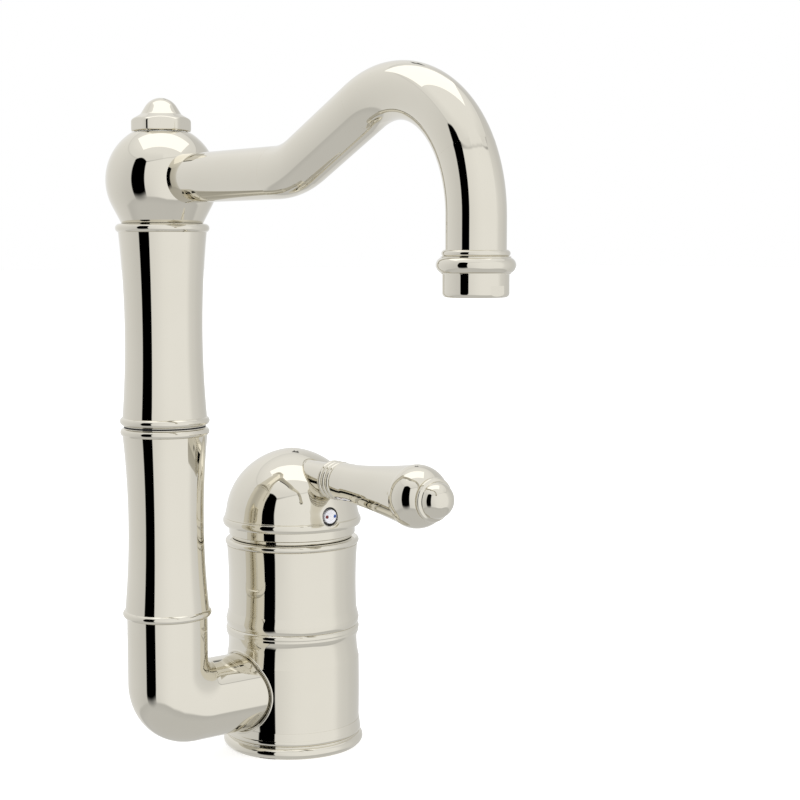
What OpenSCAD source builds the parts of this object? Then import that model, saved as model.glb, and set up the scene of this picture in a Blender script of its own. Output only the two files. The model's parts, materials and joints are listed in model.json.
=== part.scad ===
// Gooseneck bar faucet: a side column carries a swivelling gooseneck spout, and a
// drum beside it holds a ceramic mixing cartridge under a domed single lever.
// Frame: millimetres, +Z up. The origin is the centre of the drum's underside on the
// deck, -Y is the front (spout and lever point that way), -X is towards the column.

/* [Deck and drum] */
// Radius of the base ring at its widest
base_r = 25.9; // [25.6:0.05:26.4]
// Height of the base ring
base_h = 4; // [3.6:0.1:4.4]
// Waist radius of the upper half of the drum
drum_waist = 23.5; // [23.3:0.05:23.7]
// Height of the top face of the drum
drum_top = 77.3; // [77.1:0.1:77.5]
// Height of the seam line round the middle of the drum
drum_seam = 45.1; // [44.9:0.1:45.3]

/* [Column] */
// Distance from the drum axis to the column axis
col_d = 53.2; // [52.4:0.1:56]
// Outer radius of the plain elbow pipe
pipe_r = 14.05; // [13.9:0.05:14.2]
// Height of the horizontal run of the elbow
pipe_z = 22.4; // [22:0.1:23.4]
// Waist radius of the lower column piece
low_waist = 13.12; // [12.8:0.02:13.4]
// Waist radius of the upper column piece
up_waist = 13.38; // [13:0.02:13.7]
// Bore radius of the column
col_bore = 6.5; // [5:0.5:7]

/* [Spout] */
// Outer radius of the spout tube
tube_r = 8.2; // [8:0.05:8.25]
// Wall thickness of the spout tube
tube_t = 1.2; // [0.8:0.1:1.6]
// Height of the level run of the spout
spout_z = 206.5; // [206:0.1:207]
// Length of the level run, from the column axis
run_l = 71.4; // [60:0.2:80]
// Centreline radius of the first, upward bend
rise_r = 35.5; // [30:0.5:42]
// Angle of the rising run above level
rise_a = 25.4; // [15:0.2:32]
// Length of the rising run
rise_l = 32.5; // [20:0.5:45]
// Centreline radius of the crown
crown_r = 34; // [30:0.5:40]
// Angle below level at which the crown eases into the drop
crown_a = 62.7; // [50:0.1:75]
// Centreline radius of the last part of the drop
drop_r = 37; // [32:0.5:42]
// Radius of the swivel ball
ball_r = 19.1; // [18.9:0.05:19.4]
// Width across the flats of the finial nut
nut_af = 18; // [17:0.25:18.5]

/* [Outlet] */
// Outer radius of the bead on the outlet collar
bead_r = 10.7; // [10.2:0.05:11.2]
// Outer radius of the aerator housing
aer_r = 9; // [8.8:0.05:9.3]
// Height of the mouth of the aerator
mouth_z = 170.1; // [169.6:0.1:170.4]

/* [Handle] */
// Outer radius of the dome
dome_r = 24.4; // [24.3:0.05:24.6]
// Height of the centre of the dome
dome_z = 85; // [84.8:0.1:85.2]
// Height of the tilting axis of the lever
pivot_z = 70; // [69.8:0.1:70.2]
// Height of the lever axis
lever_z = 100.9; // [100.4:0.1:101.4]
// Radius of the lever rod
rod_r = 5.5; // [5:0.1:5.8]
// Radius of the rings on the ferrule
ring_r = 6.9; // [6.4:0.05:7.2]
// Thinnest radius of the lever handle
grip_r = 6.75; // [6.4:0.05:6.9]
// Widest radius of the lever handle
belly_r = 10.6; // [9.8:0.1:11]
// Distance from the drum axis to the widest point of the handle
belly_s = 73.9; // [71:0.1:76]
// Radius of the end ball
knob_r = 6.3; // [6:0.05:6.6]

/* [Hidden] */
$fn = 96;
e = 0.05;
cx = -col_d;
base_in = 19.5;
elbow_top = 54.4;
low_top = 121.4;
up_bot = 122;
up_top = 191.6;
ball_z = 206.3;
// Floor of the recess in the top of the column that the ball turns in
cup_z = 191;
ball_bot = 191.35;
ball_top = 222.5;
nut_z = 222.9;
seat_z = 42;
tube_end = 180.3;
out_y = -(run_l + rise_r * sin(rise_a) + rise_l * cos(rise_a)
        + crown_r * (sin(rise_a) + sin(crown_a)) + drop_r * (1 - sin(crown_a)));
crown_y = run_l + rise_r * sin(rise_a) + rise_l * cos(rise_a) + crown_r * sin(rise_a);
crown_cz = spout_z + rise_r * (1 - cos(rise_a)) + rise_l * sin(rise_a) - crown_r * cos(rise_a);
drop_cy = crown_y - (drop_r - crown_r) * sin(crown_a);
drop_cz = crown_cz - (drop_r - crown_r) * cos(crown_a);
// Centreline radii of the elbow: its outer heel and its inner corner
heel_c = 8;
inner_c = 16.8;
heel_t = 124;
heel_r = pipe_r - 0.02;
heel_y = heel_r * sin(heel_t);
// Radius, about the drum's axis, of the recess floor that the elbow stands on
drum_side = 23.5;
// Centres of the three water ways through the cartridge seat: cold, hot and mixed
ways = [[6.5, 6.5], [6.5, -6.5], [-7, 0]];
inlets = [[8, 7], [8, -7]];
stud = [-1, -12.5];
nickel = [0.86, 0.83, 0.76];
brass = [0.72, 0.58, 0.30];
rubber = [0.10, 0.10, 0.11];
ceramic = [0.93, 0.92, 0.88];
plastic = [0.90, 0.91, 0.92];
steel = [0.60, 0.61, 0.63];

// ---------------------------------------------------------------- helpers
module at_col() { translate([cx, 0, 0]) children(); }
module rod(r, z0, z1) { translate([0, 0, z0]) cylinder(r = r, h = z1 - z0); }
module tube(r, ri, z0, z1) {
    difference() { rod(r, z0, z1); rod(ri, z0 - 1, z1 + 1); }
}
// A cylinder along -Y at height z, from s0 to s1 in front of the axis
module fwd(r, z, s0, s1) { translate([0, -s0, z]) rotate([90, 0, 0]) cylinder(r = r, h = s1 - s0); }
// A 2D box by its corners
module box2(x0, y0, x1, y1) { translate([x0, y0]) square([x1 - x0, y1 - y0]); }
// A 2D round bead of half-height h whose outer edge stands at radius r
module bead2(r, h, z) { translate([r - h, z]) circle(r = h, $fn = 48); }
// The 2D half-section of a waisted barrel between two heights
module waist2(r, zw, big, z0, z1) {
    difference() {
        box2(0, z0, r + 2.2, z1);
        translate([r + big, zw]) circle(r = big, $fn = 720);
    }
}

// ---------------------------------------------------------------- base and drum
module base_ring() color(nickel) difference() {
    rotate_extrude() union() {
        box2(base_in, 0, base_r - 1.2, base_h);
        translate([base_r - 1.98, 2]) circle(r = 1.98, $fn = 48);
    }
    rotate_extrude() box2(20.8, -1, 23.2, 1.3);
}
module base_gasket() color(rubber) rotate_extrude() box2(20.8, 0, 23.2, 1.3);

// The outside of the drum, solid
module drum_form() rotate_extrude() union() {
    box2(0, 0, base_in - e, base_h + 1);
    box2(0, base_h, drum_waist - 0.4, drum_top);
    box2(0, base_h, 24.5, 12);
    bead2(25.1, 1.65, base_h + 1.7);
    polygon([[0, 6.5], [24.98, 6.5], [24.6, 9.3], [0, 9.3]]);
    // lower half: a slightly swollen barrel, drawn in under a round bead
    intersection() {
        box2(0, 8, 26, 32.5);
        translate([24.65 - 600, 23]) circle(r = 600, $fn = 1440);
    }
    difference() {
        box2(0, 31, 24.56, 39.5);
        translate([23.75 + 30, 39.4]) circle(r = 30, $fn = 360);
    }
    difference() {
        box2(0, 39.3, 24.45, drum_seam - 1.4);
        translate([23.75 + 6, 39.4]) circle(r = 6, $fn = 120);
    }
    bead2(24.6, 1.5, drum_seam - 1.45);
    // upper half: its foot rolls in over the bead, then a waisted barrel up to the top bead
    intersection() {
        box2(0, drum_seam - 0.15, 26, drum_seam + 2.4);
        translate([24.55 - 6, drum_seam + 2.2]) circle(r = 6, $fn = 180);
    }
    polygon([[0, drum_seam + 2.2], [24.53, drum_seam + 2.25], [23.7, drum_seam + 5.9], [0, drum_seam + 5.9]]);
    waist2(drum_waist, 60.3, 180, drum_seam + 2.3, drum_top - 2.6);
    bead2(24.65, 1.25, drum_top - 1.27);
    box2(0, drum_top - 4, 23.8, drum_top);
}
module mixer_body() color(nickel) difference() {
    drum_form();
    // cartridge chamber and the threaded mouth for the bonnet
    rod(17.5, seat_z, drum_top + 1);
    rod(20.5, 67.5, drum_top + 1);
    // side port for the elbow, in a shallow round recess
    difference() {
        translate([-15, 0, pipe_z]) rotate([0, -90, 0]) cylinder(r = pipe_r + 0.4, h = 14);
        rod(drum_side, 0, 60);
    }
    translate([-4, 0, pipe_z]) rotate([0, -90, 0]) cylinder(r = 6, h = 30);
    translate([-16, 0, pipe_z]) rotate([0, -90, 0]) cylinder(r = 9.5, h = 12);
    // mixed water down to the port, supplies up to the seat
    translate([ways[2][0], 0, pipe_z]) cylinder(r = 2.6, h = seat_z - pipe_z + 1);
    for (i = [0, 1]) {
        translate([inlets[i][0], inlets[i][1], -1]) cylinder(r = 4.5, h = 13);
        translate([ways[i][0], ways[i][1], 10]) cylinder(r = 2.2, h = seat_z - 9);
    }
    // blind hole for the fixing stud
    translate([stud[0], stud[1], -1]) cylinder(r = 3.4, h = 15);
}

// ---------------------------------------------------------------- cartridge, fixed pieces
module cartridge_seals() color(rubber) for (w = ways)
    translate([w[0], w[1], seat_z]) rotate_extrude() translate([2.9, 0.5]) circle(r = 0.5, $fn = 24);
module cartridge_base() color(plastic) difference() {
    union() { rod(17.3, seat_z + 0.2, 47); rod(15.5, 47, 50); }
    for (w = ways) translate([w[0], w[1], 0]) {
        rod(2.2, seat_z - 1, 51);
        rod(3.6, seat_z - 1, seat_z + 1.05);
    }
}
module fixed_disc() color(ceramic) difference() {
    rod(14, 50, 53.5);
    for (w = ways) translate([w[0], w[1], 0]) rod(2.2, 49, 54);
}
module cartridge_housing() color(plastic) difference() {
    rod(17.3, 47.05, 76.8);
    rod(15.6, 46, 74.9);
    rod(10, 74, 78);
}
// The threaded ring over the cartridge; its plain neck shows under the dome
module bonnet_ring() color(nickel) difference() {
    union() {
        rod(20.4, 68, drum_top + 0.2);
        rotate_extrude() polygon([[0, drum_top + 0.1], [22.5, drum_top + 0.1], [22.5, drum_top + 0.5],
            [23.25, drum_top + 0.65], [23.25, 81.1], [21.6, 82.5], [0, 82.5]]);
    }
    rod(17.6, 67, 76.95);
    rod(12, 76, 80);
    rod(17, 79.5, 84);
}

// ---------------------------------------------------------------- elbow and column
module elbow() color(nickel) difference() {
    union() {
        difference() {
            union() {
                at_col() rod(pipe_r, pipe_z + heel_c - 0.2, elbow_top);
                translate([cx + heel_c - 0.2, 0, pipe_z]) rotate([0, 90, 0])
                    cylinder(r = pipe_r, h = col_d - heel_c + 0.2);
                // round outer heel: the pipe's section turned a quarter
                translate([cx + heel_c, 0, pipe_z + heel_c]) rotate([90, 0, 0]) rotate([0, 0, 180]) heel();
                // eased inner corner, and the flat sides between it and the heel
                translate([cx + inner_c, 0, pipe_z + inner_c]) rotate([90, 0, 0]) rotate([0, 0, 180])
                    rotate_extrude(angle = 90) translate([inner_c, 0]) circle(r = pipe_r - 0.02, $fn = 96);
                rotate([90, 0, 0]) translate([cx, pipe_z, 0.04 - pipe_r]) linear_extrude(2 * pipe_r - 0.08)
                    difference() {
                        box2(0, 0, inner_c, inner_c);
                        box2(-1, -1, heel_c, heel_c);
                        translate([inner_c, inner_c]) circle(r = inner_c, $fn = 240);
                    }
                rotate([90, 0, 0]) translate([cx, pipe_z, 0.04 - pipe_r]) linear_extrude(2 * pipe_r - 0.08)
                    intersection() {
                        box2(0, 0, heel_c + 0.1, heel_c + 0.1);
                        translate([heel_c, heel_c]) circle(r = heel_c, $fn = 120);
                    }
            }
            // the pipe is cut to the floor of the recess in the drum's side
            rod(drum_side + 0.01, 0, 60);
        }
        at_col() rod(9, elbow_top - 1, elbow_top + 8);
        // brazed spigot in the drum's side port
        translate([-16.05, 0, pipe_z]) rotate([0, -90, 0]) cylinder(r = 9.45, h = 12);
    }
    // water way
    at_col() rod(col_bore, pipe_z - 3, elbow_top + 9);
    translate([cx - 2, 0, pipe_z]) rotate([0, 90, 0]) cylinder(r = 6, h = col_d);
}
module heel() rotate_extrude(angle = 90)
    polygon(concat([[0.02, -heel_y]], [for (t = [-heel_t : heel_t / 16 : heel_t + 0.01])
        [heel_c + heel_r * cos(t), heel_r * sin(t)]], [[0.02, heel_y]]));
module column_lower() color(nickel) at_col() difference() {
    rotate_extrude() union() {
        waist2(low_waist, 87.7, 305, elbow_top + 1.6, low_top - 1.6);
        bead2(15.45, 1.45, elbow_top + 1.5);
        bead2(15.4, 1.45, low_top - 1.6);
        box2(0, elbow_top, 14.1, elbow_top + 2);
        box2(0, low_top - 2, 14.35, low_top);
    }
    rod(9 + e, elbow_top - 1, elbow_top + 8.5);
    rod(col_bore, elbow_top + 7, low_top + 1);
    rod(9 + e, low_top - 9.5, low_top + 1);
}
module column_nipple() color(brass) at_col() tube(9, col_bore, low_top - 9.2, up_bot + 9.2);
module column_washer() color(rubber) at_col() tube(14.05, 9 + e, low_top, up_bot);
module column_upper() color(nickel) at_col() difference() {
    rotate_extrude() union() {
        waist2(up_waist, 154, 345, up_bot + 1.6, up_top - 1.6);
        bead2(15.5, 1.45, up_bot + 1.6);
        box2(0, up_bot, 14.35, up_bot + 2);
        bead2(16.1, 1.5, up_top - 1.5);
        box2(0, up_top - 2.8, 14.9, up_top - 0.12);
    }
    rod(14.4, cup_z, up_top + 1);
    rod(9 + e, up_bot - 1, up_bot + 9.5);
    rod(col_bore, up_bot, up_top + 1);
    rod(8.5 + e, up_top - 13, up_top + 1);
}

// ---------------------------------------------------------------- swivel
module swivel_post() color(brass) at_col() difference() {
    union() {
        rod(8.5, up_top - 12.8, cup_z);
        rod(8, cup_z, ball_top);
        rod(4.95, ball_top, nut_z + 7.5);
    }
    rod(5, up_top - 14, 212);
    for (a = [0, 90]) translate([0, 0, spout_z]) rotate([90, 0, a]) translate([0, 0, -12]) cylinder(r = 2.8, h = 24);
    for (z = [197.5, 216]) rotate_extrude() box2(6.5, z - 0.9, 9, z + 0.9);
}
module post_o_rings() color(rubber) at_col() for (z = [197.5, 216])
    rotate_extrude() translate([7.27, z]) circle(r = 0.75, $fn = 32);
module glide_washer() color(plastic) at_col() tube(13.4, 8.6, cup_z, cup_z + 0.3);
module finial_washer() color(plastic) at_col() tube(9.8, 5.05, ball_top + 0.05, nut_z);
module finial_nut() color(nickel) at_col() difference() {
    intersection() {
        // one flat squarely towards the front left, its corners turned off
        rotate([0, 0, 31]) translate([0, 0, nut_z]) cylinder(r = nut_af / sqrt(3), h = 12, $fn = 6);
        rotate([0, 0, 61]) translate([0, 0, nut_z]) cylinder(r = 10.1 / cos(30), h = 12, $fn = 6);
        rotate_extrude() union() {
            polygon([[0, nut_z], [12, nut_z], [12, 225.25], [8.75, 227.95], [7.15, 229.15], [6.55, 229.95],
                [5.03, 231.93], [0, 231.93]]);
            intersection() { translate([0, 228.05]) circle(r = 6.3, $fn = 120); box2(0, 231.5, 8, 240); }
        }
    }
    rod(5, nut_z - 1, nut_z + 8);
}

// ---------------------------------------------------------------- spout
module swivel_ball() color(nickel) difference() {
    at_col() rotate_extrude() union() {
        intersection() {
            translate([0, ball_z]) circle(r = ball_r, $fn = 240);
            box2(0, 197.3, 20, ball_top);
        }
        polygon([[0, ball_bot], [14, ball_bot], [14.05, 191.95],
            [sqrt(ball_r * ball_r - 9 * 9), 197.3], [0, 197.3]]);
    }
    at_col() rod(8 + e, ball_bot - 1, ball_top + 1);
    at_col() rod(11.5, 202, 211);
    at_col() fwd(tube_r + 0.02, spout_z, 12, 24);
    at_col() difference() {
        fwd(tube_r + 0.4, spout_z, 12, 24);
        translate([0, 0, ball_z]) sphere(r = ball_r - 1.2, $fn = 240);
    }
    at_col() fwd(tube_r - tube_t, spout_z, 8, 20);
}
// The straight pieces of the path lap the bends by j; g sets the bends in by a hair
module tube_path(r, g, j = 0.2) at_col() {
    fwd(r, spout_z, 12, run_l + j);
    translate([0, -run_l, spout_z + rise_r]) rotate([90, 0, -90]) rotate([0, 0, -90])
        rotate_extrude(angle = rise_a) translate([rise_r, 0]) circle(r = r - g, $fn = 64);
    translate([0, -run_l - rise_r * sin(rise_a), spout_z + rise_r * (1 - cos(rise_a))])
        rotate([90 - rise_a, 0, 0]) translate([0, 0, -j]) cylinder(r = r, h = rise_l + 2 * j, $fn = 64);
    translate([0, -crown_y, crown_cz]) rotate([90, 0, -90]) rotate([0, 0, 90 - crown_a])
        rotate_extrude(angle = crown_a + rise_a) translate([crown_r, 0]) circle(r = r - g, $fn = 64);
    translate([0, -crown_y - crown_r * sin(crown_a), crown_cz + crown_r * cos(crown_a)])
        rotate([90 + crown_a, 0, 0]) translate([0, 0, -j]) cylinder(r = r, h = 2 * j, $fn = 64);
    translate([0, -drop_cy, drop_cz]) rotate([90, 0, -90])
        rotate_extrude(angle = 90 - crown_a) translate([drop_r, 0]) circle(r = r - g, $fn = 64);
    translate([0, out_y, 0]) rod(r, tube_end, drop_cz + j);
}
module spout_tube() color(nickel) difference() {
    tube_path(tube_r, 0.01);
    tube_path(tube_r - tube_t, -0.01);
    at_col() fwd(tube_r - tube_t, spout_z, 10, 14);
    at_col() translate([0, out_y, 0]) rod(tube_r - tube_t, tube_end - 1, tube_end + 2);
}
module at_out() { at_col() translate([0, out_y, 0]) children(); }
module outlet_collar() color(nickel) at_out() rotate_extrude() difference() {
    union() {
        box2(0, 176.4, 9.4, 181);
        translate([bead_r - 2.25, 178.65]) circle(r = 2.25, $fn = 64);
        box2(0, 180.5, 8.6, 182.75);
        translate([9.2 - 0.95, 181.8]) circle(r = 0.95, $fn = 48);
    }
    box2(-1, tube_end - 0.1, tube_r + 0.02, 190);
    box2(-1, 170, 7.9, 190);
}
module aerator_washer() color(rubber) at_out() tube(7.85, 6.3, 179.25, 180.2);
module aerator_insert() color(plastic) at_out() difference() {
    union() { rod(6.5, 171.4, 179.2); }
    rod(5.7, 174, 180);
    for (i = [-3 : 3], j = [-3 : 3]) let (x = 1.5 * (i + j / 2), y = 1.3 * j)
        if (x * x + y * y < 26) translate([x, y, 170]) cylinder(r = 0.5, h = 5, $fn = 16);
}
module aerator_housing() color(nickel) at_out() difference() {
    union() {
        rotate_extrude() union() {
            box2(0, mouth_z + 1.2, aer_r, 176.35);
            box2(0, mouth_z, aer_r - 1.2, 176.35);
            translate([aer_r - 1.2, mouth_z + 1.2]) circle(r = 1.2, $fn = 48);
        }
        rod(7.8, 176, 179.2);
    }
    rod(6.55, 171.35, 180);
    rod(5.6, mouth_z - 1, 172);
    rotate_extrude() polygon([[0, mouth_z - 0.1], [6.7, mouth_z - 0.1], [5.6, mouth_z + 0.9], [0, mouth_z + 0.9]]);
    // two small flats for a spanner
    for (a = [0, 180]) rotate([0, 0, a]) translate([-5, -aer_r - 2, mouth_z - 1]) cube([10, 2.3, 4.2]);
}

// ---------------------------------------------------------------- turning part of the cartridge
module cartridge_rotor() color(plastic) difference() {
    union() { rod(13.3, 58.2, 74.5); rod(9.6, 74, 76.4); }
    translate([-3.7, -7.7, 57]) cube([7.4, 14.3, 21]);
    translate([-14, 0, pivot_z]) rotate([0, 90, 0]) cylinder(r = 1.5, h = 28);
}
module stem_pin() color(steel) translate([-12.5, 0, pivot_z]) rotate([0, 90, 0]) cylinder(r = 1.48, h = 25);
module moving_disc() color(ceramic) difference() {
    rod(10, 53.55, 57.6);
    rod(2.35, 55, 58);
    translate([-1, 0, 0]) rod(6.6, 53, 54.3);
}

// ---------------------------------------------------------------- lever
module cartridge_stem() color(steel) difference() {
    union() {
        translate([-3.4, -3.4, 61]) cube([6.8, 6.8, 35.2]);
        rod(1.9, 57.3, 62);
        translate([0, 0, 57.3]) sphere(r = 1.9);
    }
    translate([-5, 0, pivot_z]) rotate([0, 90, 0]) cylinder(r = 1.53, h = 10);
}
module handle_dome() color(nickel) difference() {
    union() {
        difference() {
            rotate_extrude() union() {
                intersection() {
                    translate([0, dome_z]) circle(r = dome_r, $fn = 240);
                    box2(0, dome_z - 0.4, 26, dome_z + 17.4);
                }
                // the crown rises a little above a true ball
                intersection() {
                    translate([-1.83, dome_z - 1.83]) circle(r = dome_r + 2.6, $fn = 240);
                    box2(0, dome_z + 17.2, 26, 120);
                }
                // the skirt flares out to a round lip
                difference() {
                    box2(0, dome_z - 0.4, 25.3, dome_z + 5.5);
                    translate([49.87, dome_z + 7.63]) circle(r = 26, $fn = 360);
                }
                box2(0, 82, 24.4, dome_z);
                difference() {
                    intersection() {
                        translate([22.95, dome_z - 1.4]) circle(r = 2.5, $fn = 90);
                        box2(20, 81.6, 26, dome_z - 0.1);
                    }
                    translate([25.35, dome_z + 0.05]) circle(r = 0.3, $fn = 24);
                }
                box2(0, 81.6, 24.2, 84);
            }
            rotate_extrude() union() {
                intersection() {
                    translate([0, dome_z]) circle(r = dome_r - 1.9, $fn = 240);
                    box2(0, dome_z - 1.4, 26, 120);
                }
                polygon([[0, 80], [23.4, 80], [23.4, 83.4], [21.9, dome_z - 0.4], [0, dome_z - 0.4]]);
            }
        }
        // hub that grips the stem and takes the lever's thread
        intersection() {
            rod(8, 84.5, 110);
            translate([0, 0, dome_z]) sphere(r = dome_r - 1, $fn = 240);
        }
    }
    translate([-3.43, -3.43, 80]) cube([6.86, 6.86, 16.4]);
    fwd(rod_r + 0.02, lever_z, 7.2, 30);
    difference() {
        fwd(rod_r + 0.35, lever_z, 7.2, 30);
        translate([0, 0, dome_z]) sphere(r = dome_r - 1, $fn = 240);
    }
    fwd(4, lever_z, 1.9, 30);
    // set screw hole through the hub, and the hole in the wall that the button closes
    fwd(2.5, 87.5, 3, 12);
    fwd(3.2, 87.5, 12, 30);
    fwd(3.6, 87.5, 23, 30);
}
module set_screw() color(steel) difference() {
    fwd(2.48, 87.5, 3.44, 9.4);
    translate([0, -7.2, 87.5]) rotate([90, 0, 0]) cylinder(r = 1.44, h = 5, $fn = 6);
}
module index_button() color(plastic) difference() {
    union() {
        translate([0, -21.2, 87.5]) rotate([90, 0, 0]) rotate_extrude() union() {
            box2(0, 0, 3.18, 1.9);
            box2(0, 1, 3.02, 3.1);
            intersection() { translate([0, 3.1 - 9]) circle(r = 9.6, $fn = 120); box2(0, 2, 2.75, 6); }
        }
    }
    translate([0, -20.9, 87.5]) rotate([90, 0, 0]) translate([0, 0, -1]) cylinder(r = 2.4, h = 3);
}
module lever_rod() color(nickel) {
    fwd(rod_r, lever_z, 7.3, 25.4);
    fwd(3.95, lever_z, 2, 39.5);
}
module lever_ferrule() color(nickel) translate([0, 0, lever_z]) rotate([90, 0, 0]) rotate_extrude() difference() {
    union() {
        box2(0, 25.4, ring_r - 0.85, 33.3);
        for (s = [26.75, 29.3, 31.85]) translate([ring_r - 1.25, s]) circle(r = 1.25, $fn = 48);
    }
    box2(-1, 20, 4, 40);
}
// Radius of the handle at distance s from the drum axis
function grip(s) = grip_r + (belly_r - grip_r) * pow(max(0, (s - 38) / (belly_s + 0.2 - 38)), 1.25);
module lever_handle() color(nickel) translate([0, 0, lever_z]) rotate([90, 0, 0]) rotate_extrude() difference() {
    union() {
        translate([7 - 1.2, 34.5]) circle(r = 1.2, $fn = 48);
        box2(0, 33.3, 5.9, 36);
        polygon(concat([[0, 34.6]], [for (s = [34.6 : 2.4 : 36.9]) [6.85 - 0.09 * (s - 34.6), s]],
            [for (s = [38 : 2.15 : belly_s - 1.4]) [grip(s), s]], [[0, belly_s - 1.4]]));
        intersection() {
            translate([0, belly_s]) circle(r = belly_r, $fn = 180);
            box2(0, belly_s - 2.3, 12, 81.7);
        }
    }
    box2(-1, 30, 4, 40);
    box2(-1, 75, 2.5, 90);
}
module lever_knob() color(nickel) translate([0, 0, lever_z]) rotate([90, 0, 0]) rotate_extrude() union() {
    box2(0, 75.5, 2.45, 82.5);
    box2(0, 81.7, 6.9, 83.6);
    translate([7.5 - 0.8, 82.9]) circle(r = 0.8, $fn = 48);
    intersection() {
        translate([0, 83.4]) circle(r = knob_r, $fn = 120);
        box2(0, 82.5, 10, 95);
    }
}

base_ring();
base_gasket();
mixer_body();
cartridge_seals();
cartridge_base();
fixed_disc();
cartridge_housing();
bonnet_ring();
elbow();
column_lower();
column_nipple();
column_washer();
column_upper();
swivel_post();
post_o_rings();
glide_washer();
finial_washer();
finial_nut();
swivel_ball();
spout_tube();
outlet_collar();
aerator_washer();
aerator_insert();
aerator_housing();
cartridge_rotor();
stem_pin();
moving_disc();
cartridge_stem();
handle_dome();
set_screw();
index_button();
lever_rod();
lever_ferrule();
lever_handle();
lever_knob();
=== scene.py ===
import bpy, bmesh, math, json
import numpy as np
from mathutils import Vector, Euler, Matrix


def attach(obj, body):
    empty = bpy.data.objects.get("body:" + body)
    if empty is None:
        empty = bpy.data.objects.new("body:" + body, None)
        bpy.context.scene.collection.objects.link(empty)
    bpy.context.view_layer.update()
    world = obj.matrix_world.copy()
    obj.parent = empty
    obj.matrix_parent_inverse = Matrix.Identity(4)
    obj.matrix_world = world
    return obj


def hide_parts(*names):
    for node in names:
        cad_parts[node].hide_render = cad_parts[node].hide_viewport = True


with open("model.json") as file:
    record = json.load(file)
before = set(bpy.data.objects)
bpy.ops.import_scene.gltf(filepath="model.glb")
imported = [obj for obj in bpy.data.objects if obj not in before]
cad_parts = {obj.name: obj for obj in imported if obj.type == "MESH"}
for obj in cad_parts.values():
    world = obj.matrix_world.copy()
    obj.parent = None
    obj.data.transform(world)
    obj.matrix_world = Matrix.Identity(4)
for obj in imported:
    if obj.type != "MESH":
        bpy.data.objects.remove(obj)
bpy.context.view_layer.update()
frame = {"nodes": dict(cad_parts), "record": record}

sc = bpy.context.scene
nodes = frame["nodes"]

# ------------------------------------------------------------------ camera
YAW = math.radians(38.194)      # the view looks from the front left
cam = bpy.data.cameras.new("camera")
cam.sensor_fit = "HORIZONTAL"
cam.sensor_width = 36.0
cam.lens = 36.0 * 1641.9 / 800.0
cam.clip_start = 0.01
cam.clip_end = 50.0
cam_ob = bpy.data.objects.new("camera", cam)
cam_ob.location = (-0.33997, -0.49694, 0.18302)
cam_ob.rotation_euler = Euler((math.radians(90 - 5.262), 0, math.radians(-38.178)))
sc.collection.objects.link(cam_ob)
sc.camera = cam_ob

sc.view_settings.view_transform = "Standard"
sc.view_settings.look = "None"
sc.view_settings.exposure = 0.0
sc.view_settings.gamma = 1.0


# ------------------------------------------------------------------ node helpers
class Tree:
    """Small helper that wires shader nodes."""

    def __init__(self, tree):
        self.t = tree
        self.t.nodes.clear()

    def new(self, kind, **values):
        n = self.t.nodes.new(kind)
        for k, v in values.items():
            if k.startswith("i_"):
                n.inputs[k[2:].replace("_", " ")].default_value = v
            else:
                setattr(n, k, v)
        return n

    def link(self, a, b):
        self.t.links.new(a, b)

    def math(self, op, a, b=None, c=None, clamp=False):
        n = self.t.nodes.new("ShaderNodeMath")
        n.operation = op
        n.use_clamp = clamp
        for i, v in enumerate((a, b, c)):
            if v is None:
                continue
            if isinstance(v, (int, float)):
                n.inputs[i].default_value = v
            else:
                self.t.links.new(v, n.inputs[i])
        return n.outputs[0]

    def step(self, v, lo, hi, a=0.0, b=1.0):
        """Smoothly from a to b as v goes from lo to hi."""
        n = self.t.nodes.new("ShaderNodeMapRange")
        n.interpolation_type = "SMOOTHSTEP"
        n.inputs["From Min"].default_value = lo
        n.inputs["From Max"].default_value = hi
        n.inputs["To Min"].default_value = a
        n.inputs["To Max"].default_value = b
        self.t.links.new(v, n.inputs["Value"])
        return n.outputs["Result"]

    def ramp(self, v, stops):
        n = self.t.nodes.new("ShaderNodeValToRGB")
        r = n.color_ramp
        r.interpolation = "LINEAR"
        while len(r.elements) > 1:
            r.elements.remove(r.elements[-1])
        r.elements[0].position = stops[0][0]
        r.elements[0].color = (stops[0][1],) * 3 + (1,)
        for p, c in stops[1:]:
            e = r.elements.new(p)
            e.color = (c, c, c, 1)
        self.t.links.new(v, n.inputs["Fac"])
        return n.outputs["Color"]

    def mix(self, f, a, b):
        """a where f is 0, b where f is 1, for plain numbers."""
        n = self.t.nodes.new("ShaderNodeMix")
        n.data_type = "FLOAT"
        for i, v in ((0, f), (2, a), (3, b)):
            if isinstance(v, (int, float)):
                n.inputs[i].default_value = v
            else:
                self.t.links.new(v, n.inputs[i])
        return n.outputs[0]


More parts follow.
